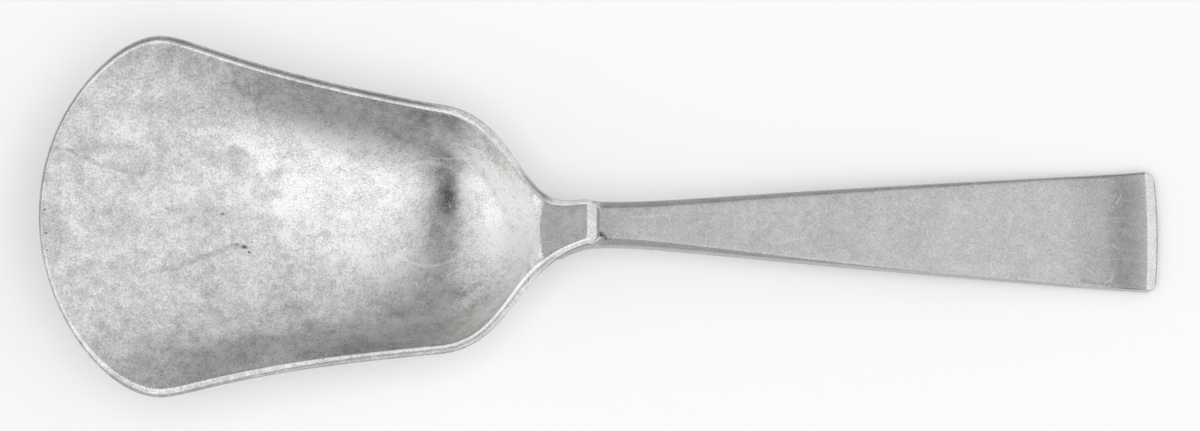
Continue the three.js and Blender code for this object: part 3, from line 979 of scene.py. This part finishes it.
def worn_silver(name, finish, wear):
    """Worn silver with grain, dull patches, fine scratches, filed edges and the marks of one piece, with
    painted light and shade on its edges, a painted highlight on the heel and painted shade along the top of
    the bowl's wall.
    """
    material, tree = new_finish(name)
    place = place_in_mm(tree)
    flat = tree.vector("MULTIPLY", place, FLAT)
    along, across, _ = tree.add("ShaderNodeSeparateXYZ", {0: place}).outputs
    ragged = tree.jitter(flat, *RAGGED)
    frayed = tree.jitter(ragged, *FRAYED)

    patches, mottle, grain, waves = (tree.noise(place, *kind) for kind in (PATCHES, MOTTLE, GRAIN, WAVES))
    wall, edge = tree.attribute("wall"), tree.attribute("edge")
    scuffed = wear["scuffed"](tree, along, across, patches)
    pad = wear["pad"](tree, along)
    # Rub strokes, which get a painted highlight as well as a matt share.
    rubs_and_highlights = [tree.times(stroke(tree, frayed, *line), paler) for *line, paler in wear["rubs_and_highlights"]]
    rub_and_highlight = tree.most([wear["rub_and_highlight"](tree, along)] + rubs_and_highlights)
    # Painted light and shade of the edges, with their matt share.
    painted_edge_light, edge_frost = wear["edges"](tree, edge, along, across)

    lines = tree.product([
        tree.most([hairlines(tree, place, *line) for line in wear["hairlines"]]),
        tree.between(pad, 1.0, PAD_HAIRLINES),
        tree.spread(wall, *WALL_FOOT, WALL_HAIRLINES, 1.0),
    ])
    specks = tree.times(
        tree.spread(tree.noise(place, *SPECKS), *SPECK_CUT),
        tree.spread(tree.noise(place, *SPECK_GROUPS), *SPECK_GROUP_CUT),
    )
    scratches = tree.most([stroke(tree, flat, *line) for line in wear["scratches"]])
    stains = tree.most([stroke(tree, frayed, *line) for line in wear["stains"]])
    pits = tree.most([spot(tree, ragged, *mark) for mark in wear["pits"]])
    rings = [water_ring(tree, flat, *mark) for mark in wear["rings"]]
    bright = tree.most([tree.times(lines, HAIRLINE_SHARE), scratches] + rings)

    mottling = tree.product([
        contrast(tree, patches, finish.patches * wear["patchy"]),
        contrast(tree, mottle, finish.mottle * wear["patchy"]),
        contrast(tree, grain, finish.grain * wear["grainy"]),
    ])
    tone = tree.product([
        tree.between(tree.times(pad, PAD_CALM), mottling, 1.0),
        tree.between(stains, 1.0, STAIN_TONE),
        tree.between(specks, 1.0, wear["speck"]),
        tree.between(scuffed, 1.0, SCUFF_TONE),
        # Painted highlight on the heel and the rub strokes.
        tree.between(rub_and_highlight, 1.0, RUB_HIGHLIGHT_TONE),
        # Painted shade along the top of the bowl's wall.
        tree.spread(wall, *WALL_TOP, 1.0, WALL_TOP_SHADE),
        # Painted light and shade on the edges.
        painted_edge_light,
    ])
    silver = tree.vector("MINIMUM", tree.scaled(finish.silver, tone), WHITE)
    silver = tree.blend(tree.times(pits, PIT_COVER), silver, finish.tarnish)

    frost = tree.total([
        tree.times(scuffed, finish.frost),
        tree.times(rub_and_highlight, RUB_FROST),
        tree.times(bright, MARK_FROST),
        tree.times(pad, PAD_FROST),
        edge_frost,
    ])
    rough = tree.total([
        tree.between(scuffed, finish.satin, finish.satin + finish.scuff),
        tree.spread(mottle, *NOISE_RANGE, *MOTTLE_ROUGH, soft=False),
        tree.times(edge_frost, EDGE_ROUGH),
    ])
    height = tree.total([
        tree.times(waves, finish.ripple / MM),
        tree.times(mottle, MOTTLE_HEIGHT),
        tree.times(grain, GRAIN_HEIGHT),
        tree.times(tree.most([lines, scratches]), -finish.scratch / MM),
        tree.times(pits, -PIT_DEPTH),
    ])
    tree.metal(silver, tree.between(frost, 1.0, 0.0), rough, height)
    return material


# Soft edges of the worn areas and of the painted highlight on the heel: places along or across the spoon in
# millimetres, or shares of the bowl's wall.
SCUFF_EDGE = (-21.0, -26.0)
SCUFF_SLANT = 0.9
SCUFF_WANDER = 16.0
SCUFF_WALL = (0.88, 0.6)
CLIMB_EDGE = (-25.5, -45.0)
CLIMB_WANDER = 5.0
CLIMB_WALL = (0.5, 0.8)
CLIMB_LEFT = (-2.0, 8.0)
CLIMB_CORNER = (-38.0, -46.0, 0.0, 0.7)
RUB_HIGHLIGHT_FRONT = (-13.5, -10.0)
RUB_HIGHLIGHT_BACK = (-6.2, -6.6)
PAD_FRONT = (-6.6, -6.2)
HELD_EDGE = (53.0, 50.0, 0.0, 0.48)
HELD_WANDER = 4.0


def bowl_scuffing(tree, along, across, patches):
    """The front of the bowl's floor, which scrapes the dish, is scuffed up to an uneven slanting edge."""
    wall = tree.attribute("wall")
    edge = tree.total([along, tree.times(across, SCUFF_SLANT), tree.times(patches, SCUFF_WANDER)])
    floor = tree.times(tree.spread(edge, *SCUFF_EDGE), tree.spread(wall, *SCUFF_WALL))
    front = tree.math("ADD", along, tree.times(patches, CLIMB_WANDER))
    side = tree.most([tree.spread(across, *CLIMB_LEFT), tree.spread(front, *CLIMB_CORNER)])
    climb = tree.product([tree.spread(front, *CLIMB_EDGE), tree.spread(wall, *CLIMB_WALL), side])
    return tree.most([floor, climb])


def neck_rub_highlight(tree, along):
    """The heel in front of the pad, made matt where the thumb wears it and paler with a painted highlight."""
    return tree.within(along, RUB_HIGHLIGHT_FRONT, RUB_HIGHLIGHT_BACK)


def bowl_pad(tree, along):
    """The filed pad at the neck, which is duller and has few scratches."""
    return tree.spread(along, *PAD_FRONT)


def bare(tree, along):
    """No such mark on this piece."""
    return 0.0


def handle_scuffing(tree, along, across, patches):
    """The handle is worn matt where it is held and keeps its shine at the upturned end."""
    return tree.spread(tree.math("ADD", along, tree.times(patches, HELD_WANDER)), *HELD_EDGE)


# Levels over the rim share of the bowl, from the wall out to the outer side.
RIM_LIP = ((0.0, 0.0), (0.12, 0.0), (0.19, 1.0), (0.33, 1.0), (0.4, 0.0), (1.0, 0.0))
RIM_LAND = ((0.0, 0.0), (0.34, 0.0), (0.4, 1.0), (0.6, 1.0), (0.67, 0.0), (1.0, 0.0))
RIM_LINE = ((0.0, 0.0), (0.43, 0.0), (0.48, 1.0), (0.53, 1.0), (0.58, 0.0), (1.0, 0.0))
RIM_VERGE = ((0.0, 0.0), (0.42, 0.0), (0.47, 1.0), (0.51, 1.0), (0.57, 0.45), (1.0, 0.45))
RIM_OUTER = ((0.0, 0.0), (0.6, 0.0), (0.66, 1.0), (0.76, 1.0), (0.88, 0.5), (1.0, 0.5))
# Where the rim's painted light and shade change, along and across the spoon.
VERGE_SHIFT = (-42.0, -20.0, -0.08, 0.03)
TONGUE_ROOT = (-4.6, -6.2)
LEFT_SIDE = (-1.0, 3.0)
RIGHT_SIDE = (3.0, -1.0)
HEEL_FRONT = (-19.0, -15.0)
HEEL_BACK = (-6.5, -9.5)
NECK_FRONT = (-13.0, -9.0)
# What each band adds to the tone as painted highlight or painted shade, where two are given from its bright
# to its dull end.
HEEL_LEFT_SHADING = 0.2
LAND_SHADE = (-0.05, -0.4)
LIP_HIGHLIGHT_AND_SHADE = (0.1, -0.35)
LINE_SHADE = -0.3
VERGE_SHADE = -0.42
OUTER_SHADE = -0.8
OUTER_LEFT = 0.45
OUTER_RIGHT = 0.5
LIP_FROST_FRONT = (-57.0, -48.0, 0.15, 0.65)
LIP_FROST_HEEL = (-24.0, -14.0, 0.0, 0.15)
LAND_FROST = 0.6
OUTER_FROST = 0.5


def bowl_rim_light_and_shade(tree, edge, along, across):
    """The rim's filed land with painted light and shade: a painted highlight on the lip, the land painted
    grey on the left and pale with a painted dark verge on the right, painted shade on the outer side, and a
    matt share.
    """
    bands = (RIM_LIP, RIM_LAND, RIM_LINE, RIM_OUTER)
    lip, land, line, outer = (tree.levels(edge, band) for band in bands)
    verge = tree.levels(tree.math("ADD", edge, tree.spread(along, *VERGE_SHIFT)), RIM_VERGE)
    bowl = tree.spread(along, *TONGUE_ROOT)
    left = tree.times(tree.spread(across, *LEFT_SIDE), bowl)
    right = tree.times(tree.spread(across, *RIGHT_SIDE), bowl)
    heel = tree.within(along, HEEL_FRONT, HEEL_BACK)
    # The left side, less so at the heel: its land and line get painted shade and its outer side less painted
    # shade.
    filed = tree.times(left, tree.between(heel, 1.0, HEEL_LEFT_SHADING))
    neck = tree.times(left, tree.spread(along, *NECK_FRONT))
    outer_shade = tree.total([OUTER_SHADE, tree.times(filed, OUTER_LEFT), tree.times(right, OUTER_RIGHT)])
    # Painted highlight on the lip, painted shade on the land, its line, the verge and the outer side.
    tone = tree.total([
        1.0,
        tree.times(land, tree.between(filed, *LAND_SHADE)),
        tree.times(lip, tree.between(neck, *LIP_HIGHLIGHT_AND_SHADE)),
        tree.product([line, filed, LINE_SHADE]),
        tree.product([verge, right, VERGE_SHADE]),
        tree.times(outer, outer_shade),
    ])
    lip_frost = tree.total([tree.spread(along, *LIP_FROST_FRONT), tree.spread(along, *LIP_FROST_HEEL)])
    frost = tree.total([
        tree.times(lip, lip_frost), tree.times(land, LAND_FROST), tree.times(outer, OUTER_FROST),
    ])
    return tone, frost


# Levels over the edge share of the bar, from its top to its sides, and the painted shade that each adds to
# the tone.
BAR_CHAMFER = ((0.0, 0.0), (0.22, 0.0), (0.3, 1.0), (0.5, 1.0), (0.54, 0.0), (1.0, 0.0))
BAR_CORNER = ((0.0, 0.0), (0.5, 0.0), (0.54, 1.0), (0.6, 1.0), (0.66, 0.0), (1.0, 0.0))
BAR_SIDE = ((0.0, 0.0), (0.6, 0.0), (0.68, 1.0), (1.0, 1.0))
BAR_CHAMFER_SHADE = -0.35
BAR_CORNER_SHADE = -0.5
BAR_SIDE_SHADE = -0.5
BAR_CORNER_FROST = 0.2


def handle_edge_shade(tree, edge, along, across):
    """The bar's edges with painted shade: darker chamfers, a dark line below them and grey sides, with a matt
    share on that line.
    """
    chamfer, corner, side = (tree.levels(edge, band) for band in (BAR_CHAMFER, BAR_CORNER, BAR_SIDE))
    # Painted shade on the chamfers, the line below them and the sides.
    tone = tree.total([
        1.0, tree.times(chamfer, BAR_CHAMFER_SHADE), tree.times(corner, BAR_CORNER_SHADE),
        tree.times(side, BAR_SIDE_SHADE),
    ])
    return tone, tree.times(corner, BAR_CORNER_FROST)


# Marks of the two pieces, placed in millimetres.
BOWL_WEAR = {
    "scuffed": bowl_scuffing,
    # Painted highlight and painted shade on the rim.
    "edges": bowl_rim_light_and_shade,
    "pad": bowl_pad,
    # The heel gets a painted highlight and a matt share.
    "rub_and_highlight": neck_rub_highlight,
    # Rub strokes on the walls, which get a painted highlight and a matt share.
    "rubs_and_highlights": (((-17.0, 10.6), (-15.4, 10.2), 2.2, 0.75), ((-21.6, -9.8), (-17.4, -9.3), 1.6, 0.3)),
    "patchy": 1.0,
    "grainy": 1.0,
    "speck": 0.62,
    "hairlines": (
        (14, 0.16, 4.5, 0.35, 3.1), (-41, 0.16, 3.2, 0.34, 11.7), (71, 0.15, 3.0, 0.34, 23.9),
        (38, 0.14, 2.6, 0.34, 37.3), (-72, 0.15, 2.4, 0.33, 51.1),
    ),
    "scratches": (
        ((-47.4, -8.1), (-45.4, -8.5), 0.07), ((-47.2, -8.6), (-44.9, -9.0), 0.07),
        ((-46.9, -9.1), (-45.0, -9.4), 0.06), ((-16.2, -4.6), (-13.9, -3.5), 0.07),
        ((-14.6, -6.1), (-12.4, -4.9), 0.06), ((-12.9, -7.2), (-11.0, -6.3), 0.06),
        ((-15.4, -7.6), (-14.1, -5.7), 0.06), ((-13.6, -4.2), (-11.9, -4.6), 0.05),
        ((-17.7, 7.4), (-13.6, 7.35), 0.06),
    ),
    "stains": (
        ((-57.1, 7.1), (-52.0, 5.6), 0.34), ((-52.0, 5.6), (-47.9, 4.9), 0.3),
        ((-37.9, -2.2), (-46.9, -5.7), 0.5), ((-16.4, 7.0), (-16.4, 3.2), 1.9),
        ((-7.75, -4.4), (-7.4, -6.2), 0.13), ((-11.6, -4.1), (-11.3, -5.2), 0.1),
    ),
    "pits": (
        ((-39.7, 1.0), 0.07, 0.16), ((-37.4, -2.4), 0.1, 0.25), ((-36.9, -2.9), 0.04, 0.14),
        ((-38.2, -2.2), 0.03, 0.14), ((-36.6, -1.9), 0.02, 0.12), ((-57.8, 0.6), 0.03, 0.1),
        ((-57.7, -1.9), 0.03, 0.12), ((-57.5, -3.6), 0.03, 0.1), ((-46.2, 12.6), 0.03, 0.1),
    ),
    "rings": (((-18.3, 1.7), 5.35, 0.3),),
}

HANDLE_WEAR = {
    "scuffed": handle_scuffing,
    # Painted shade on the bar's edges.
    "edges": handle_edge_shade,
    "pad": bare,
    "rub_and_highlight": bare,
    "rubs_and_highlights": (),
    "patchy": 0.3,
    "grainy": 0.64,
    "speck": 0.8,
    "hairlines": (
        (4, 0.15, 5.0, 0.34, 5.3), (-12, 0.15, 4.0, 0.34, 17.1), (58, 0.15, 2.5, 0.33, 31.3),
        (-52, 0.15, 2.5, 0.33, 43.7),
    ),
    "scratches": (
        ((3.2, 0.6), (7.4, 0.9), 0.06), ((18.0, -2.0), (21.5, -1.2), 0.06), ((36.0, 2.4), (39.0, 1.5), 0.06),
        ((10.9, -0.9), (12.2, -0.3), 0.07),
    ),
    "stains": (
        ((-0.3, -1.2), (0.9, -1.5), 0.5), ((50.4, -5.6), (53.2, -5.7), 0.25),
    ),
    "pits": (
        ((-0.3, -1.1), 0.04, 0.3), ((-0.1, -1.3), 0.07, 0.3), ((0.15, -1.45), 0.02, 0.26),
        ((0.4, -1.6), 0.0, 0.2), ((11.5, -0.4), 0.02, 0.1),
        ((29.3, 1.8), 0.02, 0.1), ((47.0, -2.6), 0.02, 0.1),
    ),
    "rings": (),
}


def old_solder(name, finish):
    """Grey hard solder, dull and darkened in its pores."""
    material, tree = new_finish(name)
    place = place_in_mm(tree)
    blotch = tree.noise(place, *SOLDER_BLOTCHES)
    pores = tree.spread(tree.noise(place, *SOLDER_PORES), *PORE_CUT)
    grey = tree.blend(tree.spread(blotch, *NOISE_RANGE, *SOLDER_SHINE), finish.solder, finish.silver)
    grey = tree.blend(tree.times(pores, PORE_COVER), grey, finish.tarnish)
    rough = tree.spread(blotch, *NOISE_RANGE, *SOLDER_ROUGH)
    height = tree.math("ADD", tree.times(blotch, SOLDER_RELIEF), tree.times(pores, -SOLDER_RELIEF))
    tree.metal(grey, 1.0, rough, height)
    return material


# Stage: floor, light and camera.

FLOOR_SIDE = 3.0
KEY_PLACE = (0.0, -0.2, 1.0)
KEY_SIZE = 1.1
SENSOR_WIDTH = 36.0
NEAR_CLIP = 0.01


def pale_floor(stage):
    """A pale floor that takes the shadow, with a share of even backdrop white for what looks at it."""
    corners = [(x * FLOOR_SIDE, y * FLOOR_SIDE, 0.0) for x, y in ((-1, -1), (1, -1), (1, 1), (-1, 1))]
    mesh = bpy.data.meshes.new("floor")
    mesh.from_pydata(corners, [], [(0, 1, 2, 3)])
    floor = bpy.data.objects.new("floor", mesh)
    bpy.context.scene.collection.objects.link(floor)
    material, tree = new_finish("pale_floor")
    path = tree.add("ShaderNodeLightPath")
    seen = tree.most([path.outputs[key] for key in ("Is Camera Ray", "Is Glossy Ray", "Is Transmission Ray")])
    paint = tree.add("ShaderNodeBsdfDiffuse", {"Color": stage.floor})
    glow = tree.add("ShaderNodeEmission", {"Color": WHITE, "Strength": tree.times(seen, stage.glow)})
    tree.surface(tree.add("ShaderNodeAddShader", {0: paint.outputs[0], 1: glow.outputs[0]}))
    mesh.materials.append(material)


# Levels over how far a direction leans to the front or back end, and over how far it leans across.
FRONT_LIGHT = (
    (0.0, 0.0), (0.06, 0.02), (0.1, 0.04), (0.14, 0.09), (0.17, 0.15), (0.2, 0.21), (0.24, 0.31),
    (0.3, 0.48), (0.35, 0.72), (0.39, 0.93), (0.42, 0.97), (0.48, 0.86), (0.65, 0.8), (1.0, 0.62),
)
BACK_LIGHT = (
    (0.0, 0.0), (0.06, 0.05), (0.1, 0.13), (0.15, 0.2), (0.2, 0.31), (0.27, 0.53), (0.35, 0.66),
    (0.45, 0.74), (0.6, 0.82), (0.85, 1.0), (1.0, 1.0),
)
FRONT_ACROSS = (
    (0.0, 0.3), (0.025, 0.4), (0.075, 0.5), (0.125, 0.64), (0.175, 0.82), (0.225, 0.97), (0.275, 1.0),
    (0.45, 1.0), (0.575, 0.94), (0.675, 0.86), (0.775, 0.86), (0.825, 0.76), (0.875, 0.58), (0.925, 0.42),
    (0.975, 0.2), (1.0, 0.1),
)
BACK_ACROSS = (
    (0.0, 0.08), (0.025, 0.1), (0.06, 0.2), (0.085, 0.4), (0.115, 0.65), (0.15, 0.88), (0.2, 1.0),
    (0.4, 1.0), (0.5, 0.92), (0.575, 0.7), (0.625, 0.62), (0.7, 0.52), (0.775, 0.48), (0.825, 0.32),
    (0.875, 0.2), (0.925, 0.1), (1.0, 0.05),
)
STUDIO_SLANT = 0.25
STUDIO_DIM = 0.3
FRONT_POWER = 0.85
BACK_POWER = 0.7
# The dark camera stand: its turn, its two soft edges and its levels across.
STAND_TURN = (-0.1, 0.18)
STAND_FRONT = (-0.24, -0.08)
STAND_BACK = (0.12, 0.02)
STAND_ACROSS = (
    (0.0, 0.0), (0.04, 0.0), (0.09, 0.4), (0.2, 0.45), (0.26, 1.0), (0.4, 1.0), (0.5, 0.0), (1.0, 0.0),
)
STAND_LEVEL = 0.12


def soft_studio():
    """The studio around the spoon: soft light at both ends, a dim ceiling and a dark camera stand."""
    world = bpy.data.worlds.new("soft_studio")
    world.use_nodes = True
    tree = FinishTree(world.node_tree)
    ray = tree.add("ShaderNodeTexCoord").outputs["Generated"]
    x, y, _ = tree.add("ShaderNodeSeparateXYZ", {0: ray}).outputs
    upright = tree.measure("LENGTH", tree.vector("MULTIPLY", ray, (1.0, 0.0, 1.0)))
    lean = tree.math("SUBTRACT", tree.math("DIVIDE", x, upright), tree.times(y, STUDIO_SLANT))
    across = tree.spread(y, -1.0, 1.0, soft=False)
    ends = [
        tree.product([tree.levels(to_end, light, "CARDINAL"), tree.levels(across, fade, "CARDINAL"), power])
        for to_end, light, fade, power in (
            (lean, FRONT_LIGHT, FRONT_ACROSS, FRONT_POWER),
            (tree.times(lean, -1.0), BACK_LIGHT, BACK_ACROSS, BACK_POWER),
        )
    ]
    beside = tree.math("SUBTRACT", x, tree.between(across, *STAND_TURN))
    stand = tree.times(tree.within(beside, STAND_FRONT, STAND_BACK), tree.levels(across, STAND_ACROSS))
    level = tree.times(tree.total(ends + [STUDIO_DIM]), tree.between(stand, 1.0, STAND_LEVEL))
    background = tree.add("ShaderNodeBackground", {"Color": WHITE, "Strength": level})
    tree.surface(background, "ShaderNodeOutputWorld")
    bpy.context.scene.world = world


def key_light(stage):
    """A broad lamp overhead that gives the floor its soft shadow."""
    lamp = bpy.data.lights.new("key", "AREA")
    lamp.shape = "DISK"
    lamp.size = KEY_SIZE
    lamp.energy = stage.key
    key = bpy.data.objects.new("key", lamp)
    key.location = KEY_PLACE
    key.rotation_euler = (-Vector(key.location)).to_track_quat("-Z", "Y").to_euler()
    key.visible_glossy = False
    bpy.context.scene.collection.objects.link(key)


def photo_camera(stage):
    """The camera nearly overhead, as in the photograph."""
    data = bpy.data.cameras.new("camera")
    data.lens = stage.lens
    data.sensor_width = SENSOR_WIDTH
    data.clip_start = NEAR_CLIP
    camera = bpy.data.objects.new("camera", data)
    bpy.context.scene.collection.objects.link(camera)
    turn, rise = math.radians(stage.azimuth), math.radians(stage.elevation)
    back = Vector((math.sin(turn) * math.cos(rise), -math.cos(turn) * math.cos(rise), math.sin(rise)))
    camera.location = Vector(stage.target) + back * stage.distance
    camera.rotation_euler = (-back).to_track_quat("-Z", "Y").to_euler()
    bpy.context.scene.camera = camera


# Operators.

class SPOON_OT_bowl(Operator):
    """Builds the bowl with its tongue in place of the bowl solid"""

    bl_idname = "spoon.bowl"
    bl_label = "Bowl"

    def execute(self, context):
        scene = context.scene
        vertices, faces, shares, walls = BowlForm(scene.spoon_bowl).mesh()
        bowl = make_piece("spoon_bowl", vertices, faces, SILVER_SMOOTH)
        keep_shares(bowl, "edge", shares)
        keep_shares(bowl, "wall", walls)
        bowl.data.materials.append(worn_silver("bowl_worn_silver", scene.spoon_finish, BOWL_WEAR))
        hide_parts("bowl")
        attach(bowl, "root")
        return {"FINISHED"}


class SPOON_OT_handle(Operator):
    """Builds the tapered handle bar in place of the handle solid"""

    bl_idname = "spoon.handle"
    bl_label = "Handle"

    def execute(self, context):
        scene = context.scene
        form = HandleForm(scene.spoon_handle, BowlForm(scene.spoon_bowl), scene.spoon_solder)
        vertices, faces, shares = form.mesh()
        handle = make_piece("spoon_handle", vertices, faces, SILVER_SMOOTH)
        keep_shares(handle, "edge", shares)
        handle.data.materials.append(worn_silver("handle_worn_silver", scene.spoon_finish, HANDLE_WEAR))
        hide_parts("handle")
        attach(handle, "root")
        return {"FINISHED"}


class SPOON_OT_solder(Operator):
    """Builds the solder seam between tongue and bar in place of the solder solid"""

    bl_idname = "spoon.solder"
    bl_label = "Solder seam"

    def execute(self, context):
        scene = context.scene
        bowl = BowlForm(scene.spoon_bowl)
        form = SolderForm(scene.spoon_solder, bowl, HandleForm(scene.spoon_handle, bowl, scene.spoon_solder))
        seam = make_piece("spoon_solder_seam", *form.mesh(), SOLDER_SMOOTH)
        seam.data.materials.append(old_solder("old_hard_solder", scene.spoon_finish))
        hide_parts("solder_seam")
        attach(seam, "root")
        return {"FINISHED"}


class SPOON_OT_stage(Operator):
    """Builds the pale floor, the soft studio light and the camera"""

    bl_idname = "spoon.stage"
    bl_label = "Stage"

    def execute(self, context):
        stage = context.scene.spoon_stage
        pale_floor(stage)
        soft_studio()
        key_light(stage)
        photo_camera(stage)
        context.scene.view_settings.view_transform = "Standard"
        return {"FINISHED"}


class SPOON_PT_sidebar(Panel):
    """Sizes, finish and stage of the spoon"""

    bl_idname = "SPOON_PT_sidebar"
    bl_label = "Bonbon Spoon"
    bl_space_type = "VIEW_3D"
    bl_region_type = "UI"
    bl_category = "Bonbon Spoon"

    def draw(self, context):
        groups = (
            ("spoon_bowl", SPOON_OT_bowl), ("spoon_handle", SPOON_OT_handle),
            ("spoon_solder", SPOON_OT_solder), ("spoon_finish", None), ("spoon_stage", SPOON_OT_stage),
        )
        for key, operator in groups:
            group = getattr(context.scene, key)
            box = self.layout.box()
            box.label(text=group.__class__.__doc__)
            for name in group.__annotations__:
                box.prop(group, name)
            if operator:
                box.operator(operator.bl_idname)


SETTINGS = {
    "spoon_bowl": SpoonBowlSizes,
    "spoon_handle": SpoonHandleSizes,
    "spoon_solder": SpoonSolderSizes,
    "spoon_finish": SpoonFinish,
    "spoon_stage": SpoonStage,
}
OPERATORS = (SPOON_OT_bowl, SPOON_OT_handle, SPOON_OT_solder, SPOON_OT_stage)


def register():
    for cls in (*SETTINGS.values(), *OPERATORS, SPOON_PT_sidebar):
        bpy.utils.register_class(cls)
    for key, cls in SETTINGS.items():
        setattr(bpy.types.Scene, key, PointerProperty(type=cls))


def unregister():
    for key in SETTINGS:
        delattr(bpy.types.Scene, key)
    for cls in (SPOON_PT_sidebar, *reversed(OPERATORS), *SETTINGS.values()):
        bpy.utils.unregister_class(cls)


def main():
    register()
    bpy.ops.spoon.bowl()
    bpy.ops.spoon.handle()
    bpy.ops.spoon.solder()
    bpy.ops.spoon.stage()


if __name__ == "__main__":
    main()
